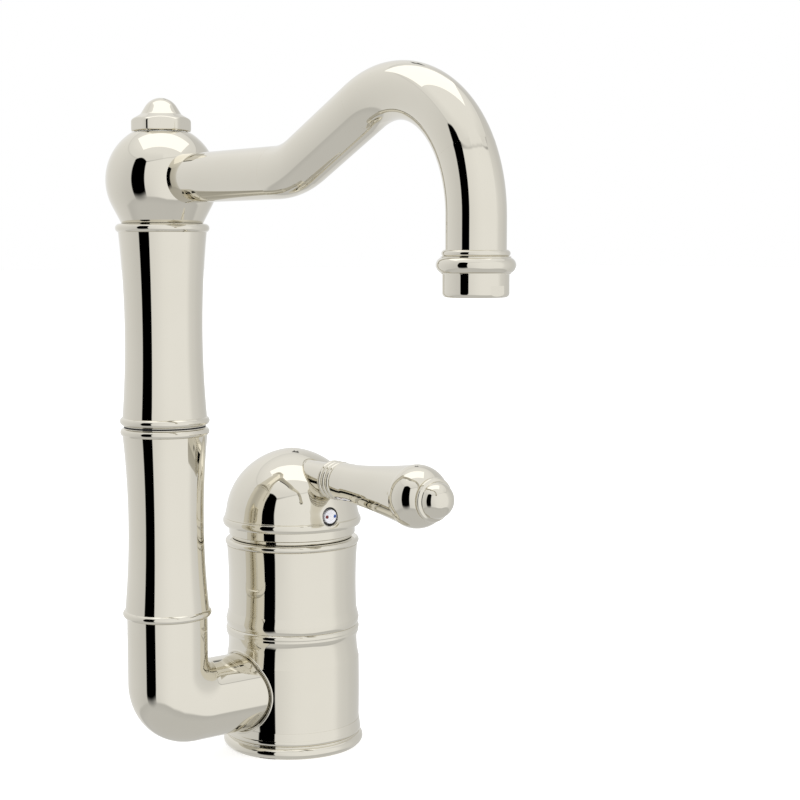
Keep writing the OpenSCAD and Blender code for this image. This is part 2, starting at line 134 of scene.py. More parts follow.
# ------------------------------------------------------------------ studio light
# A white studio: pale walls under a white ceiling, a slightly brighter panel to the
# right, a grey floor far below, one tall narrow black flag on the left, and a soft
# box hung just over the faucet.
def studio():
    w = bpy.data.worlds.new("studio")
    sc.world = w
    w.use_nodes = True
    t = Tree(w.node_tree)
    tc = t.new("ShaderNodeTexCoord")
    g = tc.outputs["Generated"]

    def dot(v):
        n = t.new("ShaderNodeVectorMath", operation="DOT_PRODUCT")
        t.link(g, n.inputs[0])
        n.inputs[1].default_value = v
        return n.outputs["Value"]

    right = dot((math.cos(YAW), -math.sin(YAW), 0))
    front = dot((-math.sin(YAW), -math.cos(YAW), 0))
    up = dot((0, 0, 1))
    az = t.math("MULTIPLY", t.math("ARCTAN2", right, front), 180 / math.pi)
    el = t.math("MULTIPLY", t.math("ARCSINE", up), 180 / math.pi)
    u = t.math("MULTIPLY_ADD", az, 1 / 360, 0.5)

    def around(stops):
        return t.ramp(u, [((a + 180) / 360, v) for a, v in stops])

    wall = around((
        (-180, 0.86), (-150, 0.93), (-130, 0.89), (-110, 0.86), (-90, 0.815), (-70, 0.76),
        (-58, 0.74), (-40, 0.80), (-26, 0.91), (-10, 0.95), (10, 1.0), (25, 1.015), (76, 1.01),
        (82, 0.97), (90, 0.86), (100, 0.81), (110, 0.785), (120, 0.74), (135, 0.71),
        (155, 0.70), (168, 0.76), (180, 0.86)))
    # the walls are a little brighter towards the top, more so on the left
    lift = t.math("MULTIPLY", t.step(az, -30, 10, 0.0022, 0.0003), t.math("SUBTRACT", el, 10))
    wall = t.math("MULTIPLY", wall, t.math("ADD", lift, 1.0))
    # ceiling, with a thin dark joint where it meets the walls
    ceiling = t.step(el, 42, 60, 0.90, 1.0)
    side = t.math("MULTIPLY", t.step(az, -5, 15), t.step(az, 70, 85, 1.0, 0.0))
    ceiling = t.math("MAXIMUM", ceiling, side)
    edge = t.math("MULTIPLY", around((
        (-180, 44 / 90), (-120, 44 / 90), (-90, 41.5 / 90), (-60, 39 / 90), (-40, 36.5 / 90), (-27, 35 / 90),
        (-13, 38.2 / 90), (3, 41.3 / 90), (20, 44.3 / 90), (45, 45 / 90), (66, 43 / 90), (80, 38.5 / 90),
        (92, 35.5 / 90), (110, 38 / 90), (140, 41 / 90), (180, 44 / 90))), 90)
    value = t.mix(t.step(t.math("SUBTRACT", el, edge), -0.8, 0.8), wall, ceiling)
    d = t.math("ABSOLUTE", t.math("SUBTRACT", el, edge))
    dark = around((
        (-180, 0.12), (-60, 0.10), (-57, 0.15), (-29, 0.62), (-20, 0.34), (-8, 0.24), (10, 0.22), (40, 0.2),
        (72, 0.25), (84, 0.5), (96, 0.3), (110, 0.12), (180, 0.12)))
    line = t.step(d, 0.0, 1.7, 1.0, 0.0)
    value = t.math("MULTIPLY", value, t.math("SUBTRACT", 1.0, t.math("MULTIPLY", line, dark)))
    # a dark corner where two rear panels part under the ceiling
    off = t.math("ABSOLUTE", t.math("SUBTRACT", t.math("ABSOLUTE", az), 178.6))
    wide = t.step(el, 28.0, 40.0, 0.0, 2.5)
    cor = t.math("MULTIPLY", t.step(t.math("SUBTRACT", off, wide), -0.9, 0.4, 1.0, 0.0), t.step(el, 39.0, 40.8, 1.0, 0.0))
    cor = t.math("MULTIPLY", cor, t.step(el, 28.0, 29.5))
    value = t.math("MULTIPLY", value, t.math("SUBTRACT", 1.0, t.math("MULTIPLY", cor, 0.85)))
    # floor, far below; its far edge lies lower to the right
    hz = t.math("MULTIPLY", around((
        (-180, 37 / 90), (-86, 35 / 90), (-58, 31.5 / 90), (-27, 33 / 90), (-3, 35.6 / 90), (21, 40 / 90),
        (44, 39.5 / 90), (60, 34.5 / 90), (75, 31.2 / 90), (90, 31 / 90), (140, 36 / 90), (180, 37 / 90))), -90)
    low = t.math("SUBTRACT", el, hz)
    value = t.mix(t.step(low, -2.6, 2.2, 1.0, 0.0), value, t.step(low, -16, -1, 0.65, 0.60))
    # black flag with a rounded top; its foot fades into the floor
    fx = t.math("MULTIPLY", t.step(az, -58.0, -55.5), t.step(az, -28.2, -26.4, 1.0, 0.0))
    off = t.math("DIVIDE", t.math("ADD", az, 42.3), 15.0)
    off2 = t.math("MULTIPLY", off, off)
    top = t.math("MULTIPLY_ADD", off2, -6.0, 41.8)
    ft = t.step(t.math("SUBTRACT", el, top), -1.2, 0.6, 1.0, 0.0)
    foot = t.math("MULTIPLY_ADD", off2, 5.0, 0.0)
    fb = t.step(t.math("SUBTRACT", el, foot), -43.0, -24.0)
    flag = t.math("MULTIPLY", t.math("MULTIPLY", fx, ft), fb)
    value = t.math("MULTIPLY", value, t.math("SUBTRACT", 1.0, flag))
    # what the camera itself sees behind the object is plain white
    lp = t.new("ShaderNodeLightPath")
    value = t.mix(lp.outputs["Is Camera Ray"], value, 1.0)
    bg = t.new("ShaderNodeBackground")
    t.link(value, bg.inputs["Color"])
    bg.inputs["Strength"].default_value = 1.0
    out = t.new("ShaderNodeOutputWorld")
    t.link(bg.outputs[0], out.inputs["Surface"])


studio()


def glow(name, strength):
    m = bpy.data.materials.new(name)
    m.use_nodes = True
    t = Tree(m.node_tree)
    e = t.new("ShaderNodeEmission")
    e.inputs["Color"].default_value = (1, 1, 1, 1)
    e.inputs["Strength"].default_value = strength
    o = t.new("ShaderNodeOutputMaterial")
    t.link(e.outputs[0], o.inputs["Surface"])
    return m


# ------------------------------------------------------------------ soft box
def softbox():
    """A rectangle of light over the faucet, given in the camera's right and front."""
    me = bpy.data.meshes.new("softbox")
    r = Vector((math.cos(YAW), -math.sin(YAW), 0))
    f = Vector((-math.sin(YAW), -math.cos(YAW), 0))
    c = r * -0.0165 + f * 0.035 + Vector((0, 0, 0.515))
    a = math.radians(-4.5)
    u = r * math.cos(a) + f * math.sin(a)
    v = f * math.cos(a) - r * math.sin(a)
    pts = [c + u * x + v * y for x, y in ((-0.2, -0.117), (0.2, -0.117), (0.2, 0.117), (-0.2, 0.117))]
    me.from_pydata([p[:] for p in pts], [], [(0, 1, 2, 3)])
    ob = bpy.data.objects.new("softbox", me)
    sc.collection.objects.link(ob)
    me.materials.append(glow("softbox", 1.46))
    ob.visible_camera = False
    ob.visible_shadow = False
    return ob


softbox()


# ------------------------------------------------------------------ floor
def floor():
    me = bpy.data.meshes.new("floor")
    s = 12.0
    me.from_pydata([(-s, -s, 0), (s, -s, 0), (s, s, 0), (-s, s, 0)], [], [(0, 1, 2, 3)])
    ob = bpy.data.objects.new("floor", me)
    sc.collection.objects.link(ob)
    m = bpy.data.materials.new("floor")
    m.use_nodes = True
    t = Tree(m.node_tree)
    d = t.new("ShaderNodeBsdfDiffuse")
    d.inputs["Color"].default_value = (0.9, 0.9, 0.9, 1)
    e = t.new("ShaderNodeEmission")
    e.inputs["Color"].default_value = (1, 1, 1, 1)
    e.inputs["Strength"].default_value = 0.55
    a = t.new("ShaderNodeAddShader")
    o = t.new("ShaderNodeOutputMaterial")
    t.link(d.outputs[0], a.inputs[0])
    t.link(e.outputs[0], a.inputs[1])
    t.link(a.outputs[0], o.inputs["Surface"])
    me.materials.append(m)
    ob.visible_glossy = False
    return ob


floor()


# ------------------------------------------------------------------ mesh toolkit
MM = 0.001
CX = -53.2                      # the column's axis
LEVER_Z = 100.9


def identity(p):
    return p


def make_object(name, verts, faces, normals=None):
    """An object from points in millimetres, shaded smooth, with its own point normals."""
    me = bpy.data.meshes.new(name)
    me.from_pydata((np.asarray(verts) * MM).tolist(), [], faces)
    me.polygons.foreach_set("use_smooth", [True] * len(me.polygons))
    me.update()
    if normals is not None:
        me.normals_split_custom_set_from_vertices(np.asarray(normals).tolist())
    ob = bpy.data.objects.new(name, me)
    sc.collection.objects.link(ob)
    return ob


def grid_faces(nu, nv, close_u, pole0, pole1):
    """Quads of a grid that is closed in v. Returns faces and the number of points."""
    def idx(i, j):
        if pole0:
            if i == 0:
                return 0
            base = 1 + (i - 1) * nv
            if pole1 and i == nu - 1:
                return 1 + (nu - 2) * nv
            return base + j % nv
        if pole1 and i == nu - 1:
            return (nu - 1) * nv
        return (i % nu) * nv + j % nv
    faces = []
    last = nu if close_u else nu - 1
    for i in range(last):
        for j in range(nv):
            a, b, c, d = idx(i, j), idx(i, j + 1), idx(i + 1, j + 1), idx(i + 1, j)
            if a == b:
                faces.append((a, c, d))
            elif c == d:
                faces.append((a, b, c))
            else:
                faces.append((a, b, c, d))
    return faces


def surface(name, P, N, close_u=False, pole0=False, pole1=False):
    """A closed surface from a grid of points and normals, P[i][j]."""
    nu, nv = P.shape[:2]
    faces = grid_faces(nu, nv, close_u, pole0, pole1)
    def flat(A):
        rows = []
        for i in range(nu):
            if (pole0 and i == 0) or (pole1 and i == nu - 1):
                rows.append(A[i].mean(0)[None])
            else:
                rows.append(A[i])
        return np.concatenate(rows)
    V, M = flat(P), flat(N)
    M = M / np.maximum(np.linalg.norm(M, axis=1), 1e-9)[:, None]
    f = np.array([q[:3] for q in faces])
    g = np.cross(V[f[:, 1]] - V[f[:, 0]], V[f[:, 2]] - V[f[:, 0]])
    if (g * M[f[:, 0]]).sum() < 0:
        faces = [tuple(reversed(q)) for q in faces]
    return make_object(name, V, faces, M)


def arc(cx, cz, r, a0, a1, n=None):
    """Points of an arc, angles in degrees from the +r axis towards +z."""
    n = n or max(4, int(abs(a1 - a0) / 1.0))
    t = np.radians(np.linspace(a0, a1, n + 1))
    return [(cx + r * math.cos(x), cz + r * math.sin(x)) for x in t]


def profile(pts, sigma=0.07, closed=False, turn=4.0, hmin=0.03, hmax=5.0, grow=0.7):
    """A section whose corners are eased, as r, z and the normal nr, nz.

    It runs from the top, down the outside, to the bottom, and back up inside."""
    p = np.array(pts, float)
    if closed:
        p = np.vstack([p, p[:1]])
    seg = np.hypot(*np.diff(p, axis=0).T)
    keep = np.concatenate([[True], seg > 1e-6])
    p = p[keep]
    seg = np.hypot(*np.diff(p, axis=0).T)
    s = np.concatenate([[0], np.cumsum(seg)])
    n = int(s[-1] / 0.02)
    ds = s[-1] / n
    t = np.arange(n + (0 if closed else 1)) * ds
    q = np.stack([np.interp(t, s, p[:, 0]), np.interp(t, s, p[:, 1])], 1)
    w = max(2, int(4 * sigma / ds))
    k = np.exp(-0.5 * (np.arange(-w, w + 1) * ds / sigma) ** 2)
    k /= k.sum()
    pad = w + 2
    if closed:
        e = np.vstack([q[-pad:], q, q[:pad]])
    else:
        def mirror(block, end):
            m = block.copy()
            if abs(end[0]) < 1e-6:
                m[:, 0] = -m[:, 0]          # across the axis
            else:
                m = 2 * end - m
            return m[::-1]
        e = np.vstack([mirror(q[1:pad + 1], q[0]), q, mirror(q[-pad - 1:-1], q[-1])])
    sm = np.stack([np.convolve(e[:, i], k, "same") for i in (0, 1)], 1)
    d = np.gradient(sm, axis=0)
    ang = np.unwrap(np.arctan2(d[:, 1], d[:, 0]))
    kap = np.abs(np.gradient(ang)) / ds
    sl = slice(pad, pad + len(q))
    sm, d, kap = sm[sl], d[sl], kap[sl]
    h = np.clip(math.radians(turn) / np.maximum(kap, 1e-9), hmin, hmax)
    for _ in range(2 if closed else 1):
        for i in range(1, len(h)):
            h[i] = min(h[i], h[i - 1] + grow * ds)
        for i in range(len(h) - 2, -1, -1):
            h[i] = min(h[i], h[i + 1] + grow * ds)
        if closed:
            h[0] = h[-1] = min(h[0], h[-1])
    cum = np.concatenate([[0], np.cumsum(ds / h)])[:len(h)]
    m = max(8, int(math.ceil(cum[-1])))
    want = np.linspace(0, cum[-1], m + (0 if closed else 1), endpoint=not closed)
    ids = np.unique(np.searchsorted(cum, want).clip(0, len(h) - 1))
    if not closed:
        ids[0], ids[-1] = 0, len(h) - 1
    pr, pz = sm[ids].T
    tr, tz = d[ids].T
    ln = np.hypot(tr, tz)
    nr, nz = -tz / ln, tr / ln
    if not closed:
        for i in (0, -1):
            if abs(pts[i][0]) < 1e-6:
                pr[i] = 0.0
                nr[i] = 0.0
                nz[i] = 1.0 if nz[i] > 0 else -1.0
    return pr, pz, nr, nz


def lathe(name, prof, place=identity, segs=256, closed=False):
    """The section turned about the z axis, then put in place by a rigid move."""
    pr, pz, nr, nz = prof
    a = np.arange(segs) * 2 * math.pi / segs
    ca, sa = np.cos(a), np.sin(a)
    P = np.stack([pr[:, None] * ca, pr[:, None] * sa, np.repeat(pz[:, None], segs, 1)], 2)
    N = np.stack([nr[:, None] * ca, nr[:, None] * sa, np.repeat(nz[:, None], segs, 1)], 2)
    Q = place(P)
    M = place(P + N) - Q
    return surface(name, Q, M, closed, (not closed) and pr[0] == 0, (not closed) and pr[-1] == 0)


def swept(name, fn, us, vs, close_u=False, pole0=False, pole1=False):
    """A surface from a function of two numbers; its normals come from the function."""
    U, W = np.meshgrid(us, vs, indexing="ij")
    P = fn(U, W)
    e = 1e-4
    du = fn(U + e, W) - fn(U - e, W)
    dv = fn(U, W + e) - fn(U, W - e)
    N = np.cross(du, dv)
    N /= np.maximum(np.linalg.norm(N, axis=2), 1e-12)[:, :, None]
    # point the normals outwards, away from each ring's middle
    out = ((P - P.mean(1, keepdims=True)) * N).sum()
    if out < 0:
        N = -N
    return surface(name, P, N, close_u, pole0, pole1)


def at_column(p):
    return p + np.array([CX, 0, 0])


# ------------------------------------------------------------------ cut pieces
class Turned:
    """A turned solid that knows the true normal of its surface."""

    def __init__(self, name, pts, place=identity, back=identity, segs=256, closed=False, **kw):
        self.prof = profile(pts, closed=closed, **kw)
        self.fine = profile(pts, closed=closed, turn=1.0, hmin=0.02, hmax=0.5, **{k: v for k, v in kw.items() if k == "sigma"})
        self.place, self.back = place, back
        self.ob = lathe(name, self.prof, place, segs, closed)

    def normal_at(self, p):
        q = self.back(p)
        r = np.hypot(q[:, 0], q[:, 1])
        fr, fz, nr, nz = self.fine
        out = np.empty_like(q)
        for i in range(0, len(q), 4000):
            b = slice(i, i + 4000)
            d = (r[b, None] - fr[None]) ** 2 + (q[b, 2, None] - fz[None]) ** 2
            k = d.argmin(1)
            u = q[b, :2] / np.maximum(r[b], 1e-6)[:, None]
            out[b] = np.column_stack([u[:, 0] * nr[k], u[:, 1] * nr[k], nz[k]])
        return self.place(q + out) - self.place(q)


class Bead:
    """A round bead or groove along a closed line."""

    def __init__(self, name, line, r, segs=20):
        self.c = line
        t = np.roll(line, -1, 0) - np.roll(line, 1, 0)
        t /= np.linalg.norm(t, axis=1)[:, None]
        m = line.mean(0)
        a = line - m
        a -= (a * t).sum(1)[:, None] * t
        a /= np.linalg.norm(a, axis=1)[:, None]
        b = np.cross(t, a)
        w = np.arange(segs) * 2 * math.pi / segs
        N = a[:, None] * np.cos(w)[None, :, None] + b[:, None] * np.sin(w)[None, :, None]
        self.ob = surface(name, line[:, None] + r * N, N, close_u=True)

    def normal_at(self, p):
        out = np.empty_like(p)
        for i in range(0, len(p), 2000):
            d = ((p[i:i + 2000, None] - self.c[None]) ** 2).sum(2)
            k = d.argmin(1)
            # nearest point of the line, not only of its vertices
            a = self.c[k]
            best = a.copy()
            bd = ((p[i:i + 2000] - a) ** 2).sum(1)
            for s in (-1, 1):
                b = self.c[(k + s) % len(self.c)]
                ab = b - a
                f = ((p[i:i + 2000] - a) * ab).sum(1) / np.maximum((ab * ab).sum(1), 1e-12)
                q = a + np.clip(f, 0, 1)[:, None] * ab
                dd = ((p[i:i + 2000] - q) ** 2).sum(1)
                w = dd < bd
                best[w], bd[w] = q[w], dd[w]
            v = p[i:i + 2000] - best
            out[i:i + 2000] = v / np.maximum(np.linalg.norm(v, axis=1), 1e-9)[:, None]
        return out


def cut(base, cutters):
    """base with the cutters taken away; every surface keeps its true normals."""
    ob = base.ob
    mats = []
    for i, s in enumerate([base] + cutters):
        m = bpy.data.materials.new("tmp_%d" % i)
        mats.append(m)
        s.ob.data.materials.clear()
        s.ob.data.materials.append(m)
    for c in cutters:
        mod = ob.modifiers.new("cut", "BOOLEAN")
        mod.operation = "DIFFERENCE"
        mod.solver = "EXACT"
        mod.material_mode = "TRANSFER"
        mod.object = c.ob
    dg = bpy.context.evaluated_depsgraph_get()
    me = bpy.data.meshes.new_from_object(ob.evaluated_get(dg), depsgraph=dg)
    names = [m.name if m else "" for m in me.materials]
    which = {n: i for i, n in enumerate([m.name for m in mats])}
    for a in [a for a in me.attributes if a.name == "custom_normal"]:
        me.attributes.remove(a)
    co = np.empty(len(me.vertices) * 3)
    me.vertices.foreach_get("co", co)
    co = co.reshape(-1, 3) / MM
    lv = np.empty(len(me.loops), int)
    me.loops.foreach_get("vertex_index", lv)
    pm = np.empty(len(me.polygons), int)
    me.polygons.foreach_get("material_index", pm)
    tot = np.empty(len(me.polygons), int)
    me.polygons.foreach_get("loop_total", tot)
    lp = np.repeat(pm, tot)
    src = np.array([which.get(names[i], 0) for i in range(len(names))])
    who = src[lp]
    N = np.empty((len(lv), 3))
    for i, s in enumerate([base] + cutters):
        w = who == i
        if w.any():
            n = s.normal_at(co[lv[w]])
            N[w] = n if i == 0 else -n
    me.polygons.foreach_set("use_smooth", [True] * len(me.polygons))
    me.polygons.foreach_set("material_index", [0] * len(me.polygons))
    me.materials.clear()
    me.update()
    me.normals_split_custom_set(N.tolist())
    ob.modifiers.clear()
    old = ob.data
    ob.data = me
    bpy.data.meshes.remove(old)
    for c in cutters:
        d = c.ob.data
        bpy.data.objects.remove(c.ob)
        bpy.data.meshes.remove(d)
    for m in mats:
        bpy.data.materials.remove(m)
    return ob


pieces = {}      # name -> (object, body, slot, nodes it stands for)


def add(ob, body, slot, *stands_for):
    pieces[ob.name] = (ob, body, slot, stands_for)
    return ob


# ------------------------------------------------------------------ lever
# The lever leans a little towards its end.
LEAN = math.radians(0.5)
LS0 = 51.0


def lever_place(p):
    """Local z is the distance from the drum's axis along the lever."""
    s = p[..., 2] - LS0
    out = np.empty_like(p)
    out[..., 0] = p[..., 0]
    out[..., 1] = -LS0 - s * math.cos(LEAN) - p[..., 1] * math.sin(LEAN)
    out[..., 2] = LEVER_Z - s * math.sin(LEAN) + p[..., 1] * math.cos(LEAN)
    return out


def lever_back(q):
    y, z = -LS0 - q[..., 1], q[..., 2] - LEVER_Z
    out = np.empty_like(q)
    out[..., 0] = q[..., 0]
    out[..., 2] = y * math.cos(LEAN) - z * math.sin(LEAN) + LS0
    out[..., 1] = y * math.sin(LEAN) + z * math.cos(LEAN)
    return out


GRIP, BELLY, BELLY_S = 6.75, 10.8, 73.7


def make_lever():
    rod = [(0, 12.5), (5.5, 12.5), (5.5, 24.95), (3.9, 24.95), (3.9, 39.0), (0, 39.0)]
    add(lathe("lever_rod_v", profile(rod[::-1], 0.06), lever_place, 128), "lever", "nickel", "lever_rod")
    ring = []
    R, c = 0.98, (26.2, 28.52, 30.84)
    ring += [(4.1, 32.05), (5.95, 32.05)]
    for s in reversed(c):
        ring += arc(6.92 - R, s, R, 88, -88, 40)
    ring += [(5.95, 25.0), (4.1, 25.0)]
    add(lathe("lever_ferrule_v", profile(ring, 0.05, closed=True, turn=5), lever_place, 192, True), "lever", "nickel", "lever_ferrule")
    # handle: its foot is rounded, the neck is thin, and it swells to a ball
    pts = [(4.1, 82.0)]
    pts += [(2.7, 82.0), (2.7, 81.7)]
    t1 = math.degrees(math.asin((81.7 - BELLY_S) / BELLY))
    pts += arc(0, BELLY_S, BELLY, t1, -6, 90)
    ss = np.linspace(BELLY_S - 2.2, 38.5, 70)
    f = np.maximum(0, (ss - 38) / (BELLY_S + 0.2 - 38)) ** 1.35
    pts += list(zip(GRIP + (BELLY - GRIP) * f, ss))
    pts += [(6.76, 36.5), (6.75, 34.5), (6.74, 33.0)]
    pts += arc(6.74 - 0.6, 32.8, 0.6, 0, -78, 30)
    pts += [(4.1, 32.15), (4.1, 40.0), (0, 40.0)]
    pts[0:3] = [(0, 81.7)]
    add(lathe("lever_handle_v", profile(pts, 0.08), lever_place, 256), "lever", "nickel", "lever_handle")
    kn = [(0, 89.7)] + arc(0, 83.4, 6.3, 88, 4, 70) + arc(7.5 - 0.8, 82.9, 0.8, 60, -60, 30) + [(6.4, 81.55), (2.4, 81.55), (2.4, 78.0), (0, 78.0)]
    add(lathe("lever_knob_v", profile(kn, 0.06), lever_place, 192), "lever", "nickel", "lever_knob")


make_lever()


# ------------------------------------------------------------------ handle dome
def front_place(p):
    """Local z is the distance from the drum's axis, level with the index button."""
    out = np.empty_like(p)
    out[..., 0] = p[..., 0]
    out[..., 1] = -p[..., 2]
    out[..., 2] = 87.5 + p[..., 1]
    return out


def front_back(q):
    out = np.empty_like(q)
    out[..., 0] = q[..., 0]
    out[..., 2] = -q[..., 1]
    out[..., 1] = q[..., 2] - 87.5
    return out


def make_dome():
    R, Z = 24.4, 85.0
    ta = 8.7
    cr, cz = 50.4 * math.cos(math.radians(ta)), 50.4 * math.sin(math.radians(ta))
    pts = [(0, Z - 1.83 + math.sqrt(27.0 ** 2 - 1.83 ** 2))]
    pts += arc(-1.83, Z - 1.83, 27.0, 85.9, 45.6, 60)
    pts += arc(0, Z, R, 44.5, ta, 60)
    # concave skirt, down to the lip
    low = math.degrees(math.asin((cz - 0.28) / 26.0))
    pts += arc(cr, Z + cz, 26.0, 180 + ta, 180 + low, 24)
    pts += [(25.0, Z + 0.22), (24.83, Z + 0.08), (24.83, Z - 0.02), (25.06, Z - 0.12)]
    pts += arc(22.95, Z - 1.32, 2.5, 26, -42, 50)
    pts += [(24.4, Z - 3.06), (23.6, Z - 3.1), (23.4, Z - 3.0), (23.4, 83.4), (21.9, Z - 0.4)]
    pts += arc(0, Z, 22.5, 0, 88, 60) + [(0, Z + 22.5)]
    dome = Turned("handle_dome_v", pts, segs=320, sigma=0.06, turn=3.0)
    # groove round the foot of the rod
    n = 160
    line = []
    rr = 5.5 + 0.02
    for i in range(n):
        a = 2 * math.pi * i / n
        lo, hi = 10.0, 30.0
        for _ in range(40):
            m = (lo + hi) / 2
            p = lever_place(np.array([[rr * math.cos(a), rr * math.sin(a), m]]))[0]
            q = math.sqrt(p[0] ** 2 + p[1] ** 2 + (p[2] - Z) ** 2)
            if q < R:
                lo = m
            else:
                hi = m
        line.append(p)
    groove = Bead("groove_c", np.array(line), 0.42)
    hole = [(0, 26.5), (4.6, 26.5), (4.45, 24.7)] + arc(4.0, 23.55, 0.72, 90, 180, 20)[0:] + [(3.28, 22.9), (3.28, 19.0), (0, 19.0)]
    hole = [(0, 26.5), (4.3, 26.5), (4.3, 24.9)] + [(4.08 + 0.74 * math.cos(t), 23.95 + 0.74 * math.sin(t)) for t in np.radians(np.linspace(75, 180, 24))] + [(3.34, 23.0), (3.34, 19.0), (0, 19.0)]
    button = Turned("button_c", hole, front_place, front_back, segs=160, sigma=0.04)
    ob = cut(dome, [groove, button])
    add(ob, "lever", "nickel", "handle_dome")
    # grub-screw hub behind the dome's wall
    hub = [(0, 108.2), (7.9, 107.4), (7.9, 84.6), (5.4, 84.6), (5.4, 84.6), (4.9, 84.9), (4.9, 96.3), (0, 96.4)]
    add(lathe("dome_hub", profile(hub, 0.1), segs=96), "lever", "nickel")


make_dome()


def make_button():
    pts = [(0, 24.78)] + arc(0, 24.78 - 14.0, 14.0, 89, 80.0, 14) + [(2.56, 24.38), (2.56, 21.3), (0, 21.3)]
    add(lathe("index_button_v", profile(pts, 0.06), front_place, 128), "lever", "index_white", "index_button")
    # a dark ring set into the gap round the button, a dark piece standing in for the shade in that gap
    seat = [(2.62, 22.6), (3.3, 22.6), (3.3, 21.2), (2.62, 21.2)]
    add(lathe("button_gap_shade_ring", profile(seat, 0.05, closed=True), front_place, 96, True), "lever", "dark_plastic")


make_button()


# ------------------------------------------------------------------ bonnet ring
def make_bonnet():
    pts = [(20.35, 77.5), (22.1, 77.5), (22.15, 78.55), (22.45, 78.75), (23.1, 78.77), (23.25, 78.95), (23.25, 81.75),
           (23.1, 81.88), (21.6, 82.5), (17.0, 82.5), (17.0, 79.5), (12.0, 79.5), (12.0, 76.95), (17.6, 76.95), (17.6, 68.0), (20.35, 68.0)]
    add(lathe("bonnet_ring_v", profile(pts[::-1], 0.06, closed=True, turn=6), segs=256, closed=True), "faucet_body", "nickel", "bonnet_ring")


make_bonnet()


# ------------------------------------------------------------------ elbow
def make_elbow():
    R, ZP, top = 14.05, 22.4, 54.4
    oc, orad = (8.0, 8.0), 8.0 + R            # heel: arc about (x, z) measured from the pipe corner
    ic, irad = (16.8, 16.8), 16.8 - R
    RD = 23.51

    def fn(U, W):
        """U: 0..1 down the column, 1..2 round the corner, 2..3 along to the drum."""
        th = np.clip(U - 1, 0, 1) * math.pi / 2
        c, s = np.cos(th), np.sin(th)
        ox, oz = oc[0] - orad * c, oc[1] - orad * s
        ix, iz = ic[0] - irad * c, ic[1] - irad * s
        mx, mz = (ox + ix) / 2, (oz + iz) / 2
        ax, az = (ox - ix) / 2, (oz - iz) / 2
        x = mx + ax * np.cos(W)
        z = mz + az * np.cos(W)
        y = R * np.sin(W)
        f = np.clip(1 - U, 0, None)
        z = z + f * (top - ZP - z)
        g = np.clip(U - 2, 0, None)
        xe = -np.sqrt(RD ** 2 - y ** 2) - CX
        x = x + g * (xe - x)
        return np.stack([x + CX, y, z + ZP], -1)

    us = np.concatenate([np.linspace(0, 1, 9), np.linspace(1, 2, 65)[1:], np.linspace(2, 3, 9)[1:]])
    vs = np.arange(192) * 2 * math.pi / 192
    U, W = np.meshgrid(us, vs, indexing="ij")
    P = fn(U, W)
    e = 1e-4
    Um = np.clip(U, 2 * e, 3 - 2 * e)
    N = np.cross(fn(Um + e, W) - fn(Um - e, W), fn(U, W + e) - fn(U, W - e))
    N /= np.linalg.norm(N, axis=2)[:, :, None]
    if ((P - P.mean(1, keepdims=True)) * N).sum() < 0:
        N = -N
    # the pipe's wall: an inner skin joined at both mouths, so that it is a real tube
    inner = fn(U, W)
    mid = inner.mean(1, keepdims=True)
    Pi = mid + (inner - mid) * 0.86
    Pi[0, :, 2] = P[0, :, 2]
    Pi[-1] = P[-1] * 1.0
    Pi[-1, :, 1] *= 0.86
    Pi[-1, :, 2] = ZP + (P[-1, :, 2] - ZP) * 0.86
    Pi[-1, :, 0] = -np.sqrt(RD ** 2 - Pi[-1, :, 1] ** 2)
    PP = np.concatenate([P, Pi[::-1]])
    NN = np.concatenate([N, -N[::-1]])
    add(surface("elbow_v", PP, NN, close_u=True), "faucet_body", "nickel", "elbow")
    # rounded ring round the port in the drum's side
    n = 240
    a = np.arange(n) * 2 * math.pi / n
    rho = R + 0.8
    y, z = rho * np.sin(a), ZP + rho * np.cos(a)
    rd = drum_outline(z) - 0.36
    line = np.stack([-np.sqrt(rd ** 2 - y ** 2), y, z], 1)
    add(Bead("port_ring", line, 0.55, 40).ob, "faucet_body", "nickel")


def drum_outline(z):
    """The drum's outer radius where the elbow meets it."""
    barrel = 24.65 - 600 + np.sqrt(600.0 ** 2 - (z - 23) ** 2)
    neck = 53.75 - np.sqrt(900.0 - np.clip(39.4 - z, 0, 8.4) ** 2)
    foot = 24.98 - (z - 6.5) * 0.38 / 2.8
    return np.maximum(np.minimum(barrel, neck), foot)


make_elbow()


